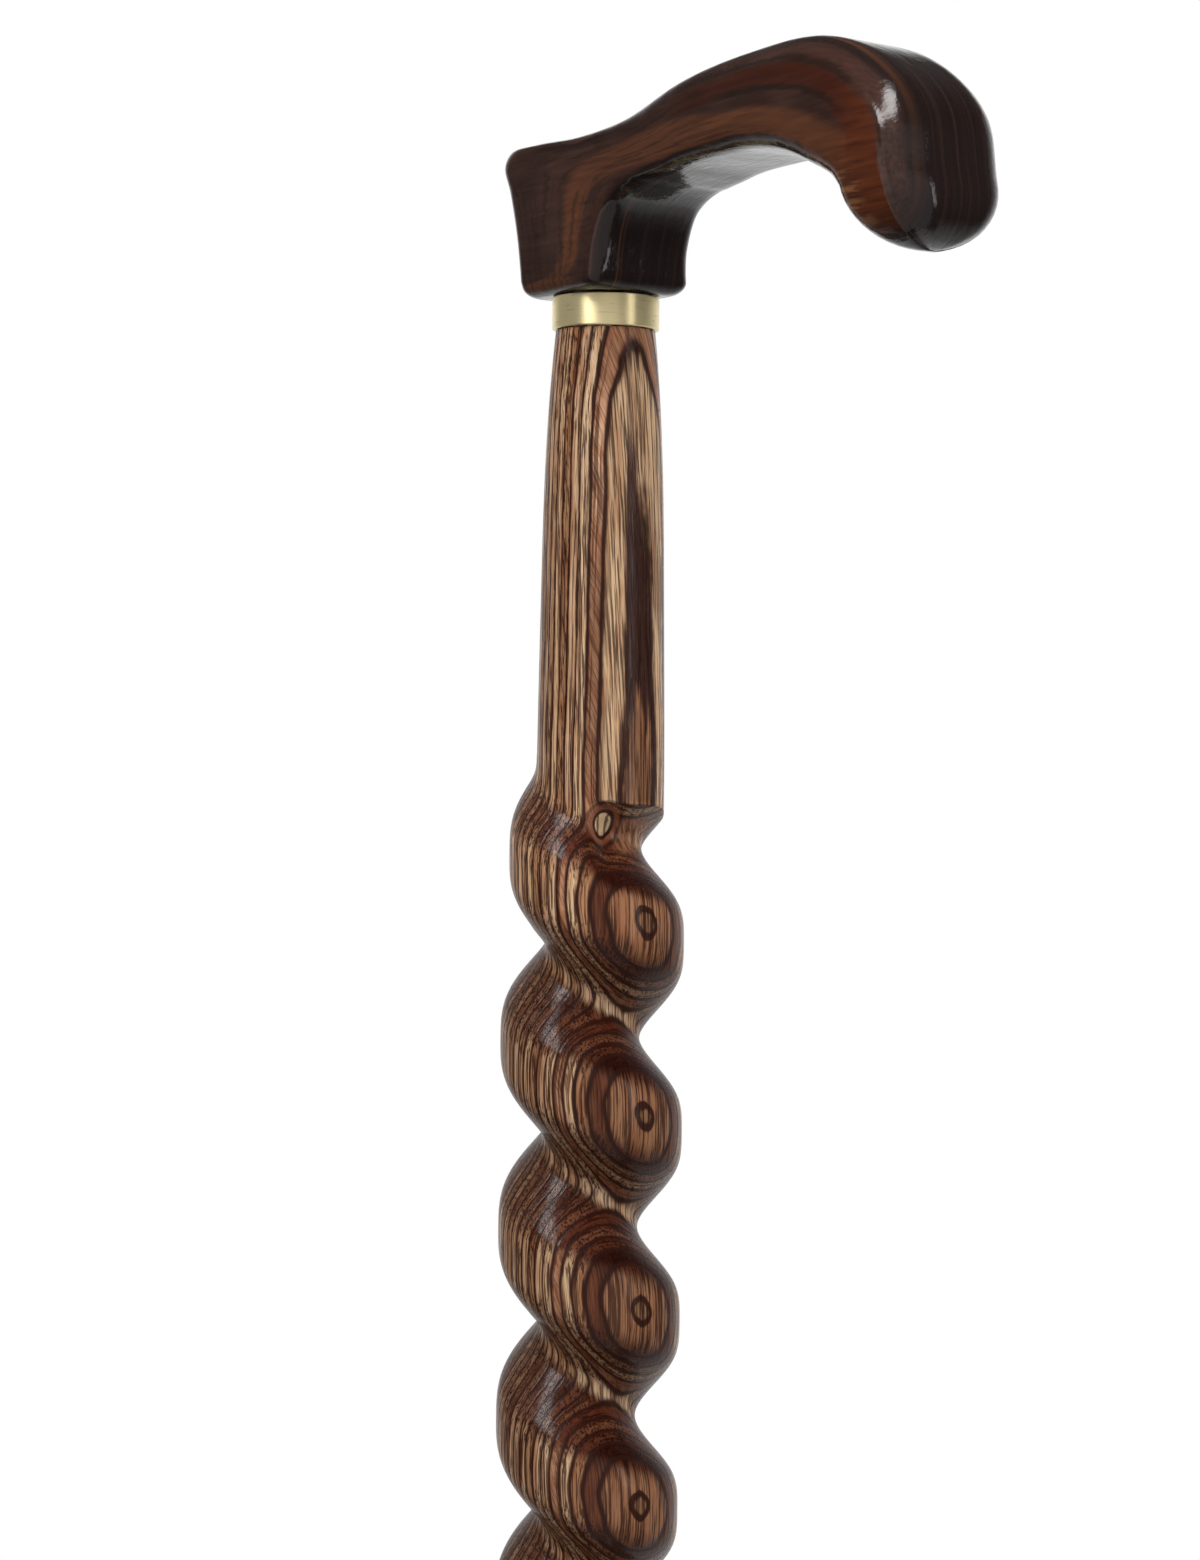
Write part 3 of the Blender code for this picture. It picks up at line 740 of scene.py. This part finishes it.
def loft(name, rings):
    """Close a stack of rings into one surface, with flat caps."""
    shape = bmesh.new()
    stack = [[shape.verts.new(point) for point in ring] for ring in rings]
    for lower, upper in zip(stack, stack[1:]):
        count = len(lower)
        for here in range(count):
            after = (here + 1) % count
            shape.faces.new((lower[here], lower[after], upper[after], upper[here]))
    shape.faces.new(list(reversed(stack[0])))
    shape.faces.new(stack[-1])
    bmesh.ops.recalc_face_normals(shape, faces=shape.faces)
    mesh = bpy.data.meshes.new(name)
    shape.to_mesh(mesh)
    shape.free()
    mesh.shade_smooth()
    mesh.set_sharp_from_angle(angle=radians(45))
    return mesh


def turned(name, profile, closed=False):
    """Turn a profile of (radius, height) points round Z; it runs down the outer side."""
    mesh = bpy.data.meshes.new(name)
    count = len(profile)
    edges = [(at, at + 1) for at in range(count - 1)]
    if closed:
        edges.append((count - 1, 0))
    mesh.from_pydata([(radius, 0.0, height) for radius, height in profile], edges, [])
    piece = add_object(name, mesh)
    screw = piece.modifiers.new("turn", "SCREW")
    screw.axis = "Z"
    screw.steps = screw.render_steps = ROUND_STEPS
    screw.use_merge_vertices = True
    screw.merge_threshold = 0.00001
    bpy.context.view_layer.update()
    shown = piece.evaluated_get(bpy.context.evaluated_depsgraph_get())
    final = bpy.data.meshes.new_from_object(shown)
    bpy.data.objects.remove(piece)
    bpy.data.meshes.remove(mesh)
    final.name = name
    final.shade_smooth()
    final.set_sharp_from_angle(angle=radians(40))
    return final


def add_object(name, data):
    made = bpy.data.objects.new(name, data)
    bpy.context.scene.collection.objects.link(made)
    return made


def add_piece(mesh, surface, body, node):
    piece = add_object(mesh.name, mesh)
    mesh.materials.clear()
    mesh.materials.append(surface)
    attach(piece, body)
    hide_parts(node)


def curve_through(rows, steps):
    """Smooth curve through rows of numbers, steps samples per gap, even where the gaps differ."""
    gaps = [dist(a, b) ** 0.5 for a, b in zip(rows, rows[1:])]
    slopes = [
        tuple((after - before) / gap for before, after in zip(rows[at], rows[at + 1]))
        for at, gap in enumerate(gaps)]
    tangents = [slopes[0]]
    for at in range(1, len(rows) - 1):
        share = gaps[at - 1] / (gaps[at - 1] + gaps[at])
        tangents.append(tuple(mix(a, b, share) for a, b in zip(slopes[at - 1], slopes[at])))
    tangents.append(slopes[-1])
    samples = []
    for at, gap in enumerate(gaps):
        for step in range(steps):
            t = step / steps
            ease = t * t * (3 - 2 * t)
            leave, arrive = gap * t * (1 - t) ** 2, gap * t * t * (t - 1)
            samples.append(tuple(
                mix(start, end, ease) + leave * out + arrive * into
                for start, end, out, into in zip(
                    rows[at], rows[at + 1], tangents[at], tangents[at + 1])))
    samples.append(rows[-1])
    return samples


def handle_lines():
    """Outer and inner line of the handle's side view, one (x, z) pair per section."""
    rows = []
    for (outer_x, outer_z), (inner_x, inner_z) in HANDLE_SECTIONS:
        reach = TAIL_REACH if outer_x < 0 else NOSE_REACH
        rows.append((outer_x * reach, outer_z * CROWN_HEIGHT,
                     mix(NECK_FRONT, NOSE_BACK, inner_x), inner_z * ARCH_HEIGHT))
    rows[0] = (-NECK_BACK, 0.0, NECK_FRONT, 0.0)
    return curve_through(rows, SECTION_STEPS)


def section_outline(span, half_width, low, high):
    """Rounded rectangle as (sideways, up from the inner line) points, flats divided too."""
    corners = (
        (half_width - low, low, -90, low, SIDE_STEPS),
        (half_width - high, span - high, 0, high, END_STEPS),
        (high - half_width, span - high, 90, high, SIDE_STEPS),
        (low - half_width, low, 180, low, END_STEPS),
    )
    points = []
    for at, (side, height, start, edge, flat_steps) in enumerate(corners):
        for step in range(CORNER_STEPS + 1):
            angle = radians(start + 90.0 * step / CORNER_STEPS)
            points.append((side + edge * cos(angle), height + edge * sin(angle)))
        next_side, next_height, next_start, next_edge, _ = corners[(at + 1) % 4]
        angle = radians(next_start)
        target = (next_side + next_edge * cos(angle), next_height + next_edge * sin(angle))
        here = points[-1]
        for step in range(1, flat_steps):
            share = step / flat_steps
            points.append((mix(here[0], target[0], share), mix(here[1], target[1], share)))
    return points


class HandleRing:
    """One section of the handle: its points, and how far along and across the wood they lie."""

    def __init__(self, outer, inner, half_width, edges, along, rise=0.0):
        span = (outer - inner).length
        up = (outer - inner).normalized()
        self.points = []
        self.across = []
        self.along = along
        for side, height in section_outline(span, half_width, *edges):
            place = inner + up * height
            self.points.append(Vector((place.x, side, place.y + rise + HANDLE_BASE)))
            self.across.append(height / span)


def handle_rings():
    """Rounded foot of the neck and sections round the arch, with the last pair of lines, from which
    the nose's dome is made.
    """
    lines = handle_lines()
    half = HANDLE_THICKNESS / 2
    rings = []
    for step in range(CORNER_STEPS):
        angle = radians(90.0 * step / CORNER_STEPS)
        inset = NECK_EDGE * (1.0 - sin(angle))
        rise = NECK_EDGE * (1.0 - cos(angle))
        outer = Vector((inset - NECK_BACK, 0.0))
        inner = Vector((NECK_FRONT - inset, 0.0))
        rings.append(HandleRing(outer, inner, half - inset, (NECK_EDGE, NECK_EDGE), 0.0, rise))
    for at, (outer_x, outer_z, inner_x, inner_z) in enumerate(lines):
        if outer_x < 0 and min(outer_z, inner_z) < NECK_EDGE:
            continue
        share = at / (len(lines) - 1)
        width = half - GRIP_WAIST * sin(pi * share) ** 2
        edges = (mix(NECK_EDGE, ARCH_EDGE, between(share, 0.0, ARCH_EDGE_FULL)),
                 mix(NECK_EDGE, CROWN_EDGE, between(share, 0.0, CROWN_EDGE_FULL))
                 + (NOSE_EDGE - CROWN_EDGE) * between(share, *NOSE_EDGE_SPAN))
        rings.append(HandleRing(
            Vector((outer_x, outer_z)), Vector((inner_x, inner_z)), width, edges, share))
    return rings, lines[-1]


def nose_dome(last, last_line):
    """Shrink the last section into a dome that closes the nose."""
    outer_x, outer_z, inner_x, inner_z = last_line
    middle = sum(last.points, Vector()) / len(last.points)
    down = Vector((outer_z - inner_z, 0.0, inner_x - outer_x))
    if down.z > 0:
        down.negate()
    down.normalize()
    down = (down + Vector((NOSE_LEAN, 0.0, 0.0))).normalized()
    rings = []
    for step in range(1, DOME_STEPS + 1):
        angle = radians(DOME_TURN * step / DOME_STEPS)
        shrink, sink = cos(angle), NOSE_DOME * sin(angle)
        rings.append([middle + (point - middle) * shrink + down * sink for point in last.points])
    return rings


def bore_rings(around, bottom):
    """A ring at the bore's bottom and one at its mouth, matched to the points of a flat ring."""
    directions = [Vector((point.x, point.y, 0.0)).normalized() for point in around]
    return [
        [Vector((BORE_RADIUS * d.x, BORE_RADIUS * d.y, level)) for d in directions]
        for level in (bottom, around[0].z)]


def make_handle(surface):
    rings, last_line = handle_rings()
    stack = bore_rings(rings[0].points, HANDLE_BASE + HANDLE_BORE_DEPTH)
    stack += [ring.points for ring in rings]
    dome = nose_dome(rings[-1], last_line)
    stack += dome
    mesh = loft("cane_handle", stack)
    places = [(0.0, 0.5)] * (2 * len(rings[0].points))
    for ring in rings:
        places += [(ring.along, across) for across in ring.across]
    places += [(1.0, across) for across in rings[-1].across] * len(dome)
    for label, column in (("along", 0), ("across", 1)):
        attribute = mesh.attributes.new(label, "FLOAT", "POINT")
        attribute.data.foreach_set("value", [place[column] for place in places])
    add_piece(mesh, surface, "cane", "handle")


def straight_radius(level):
    share = min(max((SHOULDER - level) / STRAIGHT_LENGTH, 0.0), 1.0)
    flare = STRAIGHT_FLARE * smooth(2.0 * share - 1.0)
    return mix(SHOULDER_RADIUS, STRAIGHT_RADIUS, 1.0 - (1.0 - share) ** 4) + flare


def strand_radius(turns, level):
    """Rope profile: widest at whole turns, at the groove's bottom half-way between."""
    taper = min(max((TAPER_TOP - level) / (TAPER_TOP - TAPER_BOTTOM), 0.0), 1.0)
    lobe = mix(LOBE_RADIUS, FOOT_LOBE_RADIUS, taper)
    core = mix(CORE_RADIUS, FOOT_CORE_RADIUS, taper)
    fullness = STRAND_FULLNESS * (lobe - core) / (LOBE_RADIUS - CORE_RADIUS)
    wave = (1.0 + cos(2 * pi * turns)) / 2
    return core + (lobe - core) * wave + fullness * (1.0 - cos(4 * pi * turns))


def filleted(first, second):
    """The greater of two radii, with a fillet where they cross."""
    near = max(1.0 - abs(first - second) / FILLET, 0.0)
    return max(first, second) + near * near * FILLET / 4


def twist_radius(angle, level):
    """Radius about the rope's centre line, from the straight section to the plain foot."""
    past_start = (angle - GROOVE_START) % (2 * pi)
    turns = (level - GROOVE_LEVEL) / PITCH + past_start / (2 * pi) - 0.5
    strand = strand_radius(turns, level)
    plain = straight_radius(level) - offset_at(level) * cos(angle - OFFSET_DIRECTION)
    if turns < -1.0:
        rope = strand
    elif turns < -0.5:
        rope = filleted(plain, strand)
    elif turns < 0.5:
        swell = smooth((past_start - pi / 2) / SWELL_TURN)
        rope = mix(plain, filleted(plain, strand), swell)
    else:
        rope = plain
    if -1.0 < turns < 0.5:
        drop = START_DROP / PITCH * (1.0 - smooth(past_start / (pi / 2)))
        drop *= smooth((turns + 1.0) / 0.4)
        groove = strand_radius(min(turns + drop, 0.0), level)
        if groove < rope:
            rope = mix(rope, groove, smooth(past_start / GROOVE_PLUNGE))
    return mix(rope, FOOT_RADIUS, between(level, TWIST_END + RUN_OUT, TWIST_END))


def offset_at(level):
    """The rope's centre line comes back to the axis below, and again above the twist."""
    below = between(level, TAPER_BOTTOM, TAPER_TOP)
    above = between(level, TWIST_TOP + PITCH / 2, TWIST_TOP)
    return TWIST_OFFSET * below * above


def ring_about(centre, radius_at, columns=SHAFT_COLUMNS):
    """Level ring of points whose radius may change with the angle."""
    angles = [2 * pi * column / columns for column in range(columns)]
    return [centre + radius_at(a) * Vector((cos(a), sin(a), 0)) for a in angles]


def round_ring(radius, level):
    return ring_about(Vector((0, 0, level)), lambda angle: radius)


def shaft_ring(level):
    shift = offset_at(level)
    centre = Vector((shift * cos(OFFSET_DIRECTION), shift * sin(OFFSET_DIRECTION), level))
    return ring_about(centre, lambda angle: twist_radius(angle, level))


def shaft_levels():
    """Ring heights: close together where the groove starts, wider lower down."""
    level = TWIST_END
    while level < SHOULDER - FINE_RISE:
        level += (
            COARSE_RISE if level < TAPER_TOP
            else MIDDLE_RISE if level < GROOVE_LEVEL - PITCH / 2 or level > TWIST_TOP
            else FINE_RISE)
        yield min(level, SHOULDER)


def make_shaft(surface):
    """Foot, rope twist, straight grip, spigot and bore."""
    bevel = FOOT_RADIUS / 10
    foot = ((FOOT_RADIUS - bevel, SHAFT_BOTTOM), (FOOT_RADIUS, SHAFT_BOTTOM + bevel),
            (FOOT_RADIUS, TWIST_END))
    spigot = ((SPIGOT_RADIUS, SHOULDER), (SPIGOT_RADIUS, COLLAR_TOP), (BORE_RADIUS, COLLAR_TOP),
              (BORE_RADIUS, COLLAR_TOP - SHAFT_BORE_DEPTH))
    rings = [round_ring(*row) for row in foot]
    rings += [shaft_ring(level) for level in shaft_levels()]
    rings += [round_ring(*row) for row in spigot]
    mesh = loft("twisted_shaft", rings)
    add_piece(mesh, surface, "cane", "shaft")


def rounded(radius, height, edge, start, steps):
    """A corner of a turned profile, rounded about a centre, clockwise through 90 degrees."""
    for step in range(steps + 1):
        angle = radians(start - 90 * step / steps)
        yield radius + edge * cos(angle), height + edge * sin(angle)


def make_collar(surface):
    """Brass ring with finely rounded rims."""
    outside = COLLAR_DIAMETER / 2
    inside = outside - COLLAR_WALL
    low = COLLAR_TOP - COLLAR_HEIGHT
    edge = COLLAR_EDGE
    profile = []
    for radius, height, start in (
            (outside - edge, COLLAR_TOP - edge, 90), (outside - edge, low + edge, 0),
            (inside + edge, low + edge, -90), (inside + edge, COLLAR_TOP - edge, -180)):
        profile += rounded(radius, height, edge, start, COLLAR_RIM_STEPS)
    mesh = turned("brass_collar", profile, closed=True)
    add_piece(mesh, surface, "cane", "collar")


def thread_radius(angle, level):
    turn = (level / THREAD_PITCH - angle / (2 * pi)) % 1.0
    return ROD_DIAMETER / 2 - THREAD_DEPTH * abs(2 * turn - 1)


def make_rod(surface):
    """Threaded steel rod, hidden in the shaft and the handle."""
    low = COLLAR_TOP - SHAFT_BORE_DEPTH + FIT
    high = HANDLE_BASE + HANDLE_BORE_DEPTH - FIT
    bevel = ROD_DIAMETER / 10
    count = round((high - low) / THREAD_PITCH * THREAD_STEPS)
    rings = []
    for step in range(count + 1):
        level = mix(low, high, step / count)
        ends = min(level - low, high - level, bevel) - bevel
        rings.append(ring_about(
            Vector((0, 0, level)), lambda angle: thread_radius(angle, level) + ends, ROD_COLUMNS))
    mesh = loft("threaded_rod", rings)
    add_piece(mesh, surface, "cane", "joining_rod")


def tip_radius(level):
    """Outer slope of the tip, from the flared base to the slim top."""
    share = (level - 2 * TIP_EDGE) / (TIP_HEIGHT - 2 * TIP_EDGE)
    flare = (1.0 - min(max(share, 0.0), 1.0)) ** TIP_FLARE
    return mix(TIP_TOP_DIAMETER, TIP_BASE_DIAMETER, flare) / 2


def make_tip(surface):
    """Flared rubber tip with rounded ribs, and a tread of rings on its ground face."""
    socket = FOOT_RADIUS + FIT
    profile = [(0.0, TIP_SOLE), (socket, TIP_SOLE), (socket, TIP_HEIGHT - TIP_EDGE / 4),
               (socket + TIP_EDGE / 4, TIP_HEIGHT)]
    rim = TIP_EDGE / 2
    profile += rounded(tip_radius(TIP_HEIGHT) - rim, TIP_HEIGHT - rim, rim, 90, TIP_RIM_STEPS)
    half_groove = RIB_SPACING / 6
    for rib in range(RIB_COUNT):
        middle = TIP_HEIGHT - RIB_SPACING * (rib + 1)
        for step in range(RIB_STEPS + 1):
            share = 1 - 2 * step / RIB_STEPS
            level = middle + half_groove * share
            dip = RIB_DEPTH * cos(pi / 2 * share)
            profile.append((tip_radius(level) - dip, level))
    lowest_rib = TIP_HEIGHT - RIB_SPACING * (RIB_COUNT + 0.6)
    for step in range(TIP_SLOPE_STEPS + 1):
        level = mix(lowest_rib, 2 * TIP_EDGE, step / TIP_SLOPE_STEPS)
        profile.append((tip_radius(level), level))
    profile += rounded(TIP_BASE_DIAMETER / 2 - rim, rim, rim, 0, TIP_BASE_STEPS)
    for radius in reversed(TREAD_RADII):
        for part, height in ((2, 0.0), (4, TREAD_DEPTH), (-4, TREAD_DEPTH), (-2, 0.0)):
            profile.append((radius + TREAD_WIDTH / part, height))
    profile.append((0.0, 0.0))
    mesh = turned("ribbed_tip", profile)
    add_piece(mesh, surface, "tip", "rubber_tip")


def make_washer(surface):
    low = TIP_SOLE + FIT
    high = low + WASHER_THICKNESS
    outside, inside, edge = FOOT_RADIUS, WASHER_BORE / 2, WASHER_THICKNESS / 6
    profile = (
        (inside + edge, high), (outside - edge, high), (outside, high - edge),
        (outside, low + edge), (outside - edge, low), (inside + edge, low),
        (inside, low + edge), (inside, high - edge))
    mesh = turned("steel_washer", profile, closed=True)
    add_piece(mesh, surface, "tip", "tip_washer")


# Studio: white sweep, overhead soft boxes, a dim room in front so that the gloss stays deep

CAMERA_SIDE = Vector((sin(CAMERA_AZIMUTH), -cos(CAMERA_AZIMUTH), 0.0))
CAMERA_RIGHT = Vector((-CAMERA_SIDE.y, CAMERA_SIDE.x, 0.0))

# What gloss reflects, by the angle from the camera, in degrees with the right positive: white
# sweep behind the cane, a narrow strip on the left, and the dim room
SURROUNDINGS = (
    (-180, 1.0), (-152, 1.0), (-122, 0.05), (-50, 0.04), (-47, 1.1), (-37, 1.1), (-34, 0.60),
    (0, 0.70), (42, 0.62), (50, 0.15), (62, 0.05), (100, 0.05), (150, 1.0), (180, 1.0),
)
CEILING = (0.60, 0.35, 0.1, 2.0)  # the room fades out towards the ceiling

# Lamp and strip light that only gloss shows: turn from the camera, its reach, rise, its reach
LAMP = (radians(-42), radians(20), 0.74, 0.26)
LAMP_STRENGTH = 16.0
STRIP = (radians(56), radians(8), 0.05, 0.40)
STRIP_STRENGTH = 4.0
GROUND_TURN = (radians(60), radians(115))  # where the white ground shows from below
GROUND_RISE = (-0.30, -0.65)
GROUND_STRENGTH = 0.8
FILL = (-1.0, 1.0, 0.50, 1.15)  # plain light, from below and from above

FLOOR_REACH = 4.0
FLOOR_GREY = 0.72
FLOOR_FADE = (0.15, 0.9)  # distances between which the floor turns white
WHITE = (1.0, 1.0, 1.0, 1.0)
BOX_DISTANCE = 1.1
BOX_TARGET = Vector((0.02, 0.0, 0.80))


def make_camera():
    data = bpy.data.cameras.new("camera")
    data.sensor_width = SENSOR
    data.lens = FOCAL_PIXELS / IMAGE_HEIGHT * SENSOR
    data.shift_x = (IMAGE_WIDTH / 2 - AXIS_COLUMN) / IMAGE_HEIGHT
    data.shift_y = (EYE_ROW - IMAGE_HEIGHT / 2) / IMAGE_HEIGHT
    data.clip_start = 0.01
    data.clip_end = 50.0
    camera = add_object("camera", data)
    turn = (-CAMERA_SIDE).to_track_quat("-Z", "Y").to_matrix().to_4x4()
    camera.matrix_world = (
        Matrix.Translation(CAMERA_SIDE * CAMERA_DISTANCE + Vector((0, 0, EYE_LEVEL)))
        @ turn @ Matrix.Rotation(CAMERA_ROLL, 4, "Z"))
    bpy.context.scene.camera = camera


def soft_box(name, left_of_camera, elevation, size, watts):
    """Square lamp aimed at the cane's upper half. The angle is measured at the cane."""
    data = bpy.data.lights.new(name, "AREA")
    data.shape = "SQUARE"
    data.size = size
    data.energy = watts
    lamp = add_object(name, data)
    turn = Matrix.Rotation(radians(-left_of_camera), 3, "Z")
    rise = radians(elevation)
    away = turn @ CAMERA_SIDE * cos(rise) + Vector((0, 0, sin(rise)))
    lamp.location = BOX_TARGET + away * BOX_DISTANCE
    lamp.rotation_mode = "QUATERNION"
    lamp.rotation_quaternion = away.to_track_quat("Z", "Y")
    lamp.visible_camera = False
    lamp.visible_glossy = False


def make_world():
    """White to the camera. Light comes more from above; gloss reflects the surroundings."""
    world = bpy.data.worlds.new("studio")
    bpy.context.scene.world = world
    world.use_nodes = True
    world.node_tree.nodes.clear()
    g = Nodes(world.node_tree)
    path = g.node("LightPath").outputs
    direction = g.node("TexCoord").outputs["Generated"]
    ahead, right = [g.node("VectorMath", direction, side, operation="DOT_PRODUCT").outputs["Value"]
                    for side in (CAMERA_SIDE, CAMERA_RIGHT)]
    up = g.split(direction)[2]
    turn = g.math("ARCTAN2", right, ahead)
    around = g.ramp(g.line(turn, 1.0 / (2.0 * pi), 0.5),
                    [(angle / 360.0 + 0.5, (level / 2,) * 3) for angle, level in SURROUNDINGS])
    level = g.times(around, g.ease(up, *CEILING))
    level = g.line(g.patch(turn, up, LAMP), LAMP_STRENGTH, level)
    level = g.line(g.patch(turn, up, STRIP), STRIP_STRENGTH, level)
    ground = g.times(g.ease(up, *GROUND_RISE), g.ease(turn, *GROUND_TURN), GROUND_STRENGTH)
    level = g.math("MAXIMUM", level, ground)
    fill, gloss, shown = [g.node("Background", WHITE, strength).outputs[0]
                          for strength in (g.ease(up, *FILL), level, 1.0)]
    reflected = g.node("MixShader", path["Is Glossy Ray"], fill, gloss).outputs[0]
    seen = g.math("MAXIMUM", path["Is Camera Ray"], path["Is Transmission Ray"])
    g.node("OutputWorld", g.node("MixShader", seen, reflected, shown).outputs[0])


def make_floor():
    """Pale floor that keeps the cane's shadow and turns white farther out.

    It rides with the tip, which stands on it also where the tip is pulled off the shaft.
    """
    shape = bmesh.new()
    bmesh.ops.create_grid(shape, x_segments=8, y_segments=8, size=FLOOR_REACH)
    mesh = bpy.data.meshes.new("floor")
    shape.to_mesh(mesh)
    shape.free()
    floor = add_object("floor", mesh)
    g = Surface("floor", Base_Color=(FLOOR_GREY, FLOOR_GREY, FLOOR_GREY, 1.0), Roughness=0.7)
    away = g.length(*g.split(g.place)[:2])
    share = g.times(g.ease(away, *FLOOR_FADE), g.node("LightPath").outputs["Is Camera Ray"])
    white = g.node("Emission", WHITE, 1.0)
    joined = g.node("MixShader", share, g.shader.outputs[0], white.outputs[0])
    g.put(g.tree.nodes["Material Output"].inputs["Surface"], joined.outputs[0])
    mesh.materials.append(g.material)
    floor.visible_glossy = False
    floor.visible_diffuse = False
    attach(floor, "tip")


def main():
    scene = bpy.context.scene
    scene.view_settings.view_transform = "Standard"
    steel = make_steel()
    make_handle(make_walnut())
    make_collar(make_brass())
    make_rod(steel)
    make_shaft(make_laminate())
    make_tip(make_rubber())
    make_washer(steel)
    make_camera()
    make_world()
    make_floor()
    soft_box("left_box", left_of_camera=42, elevation=48, size=0.34, watts=4.6)
    soft_box("right_box", left_of_camera=-40, elevation=50, size=0.5, watts=4.8)


main()
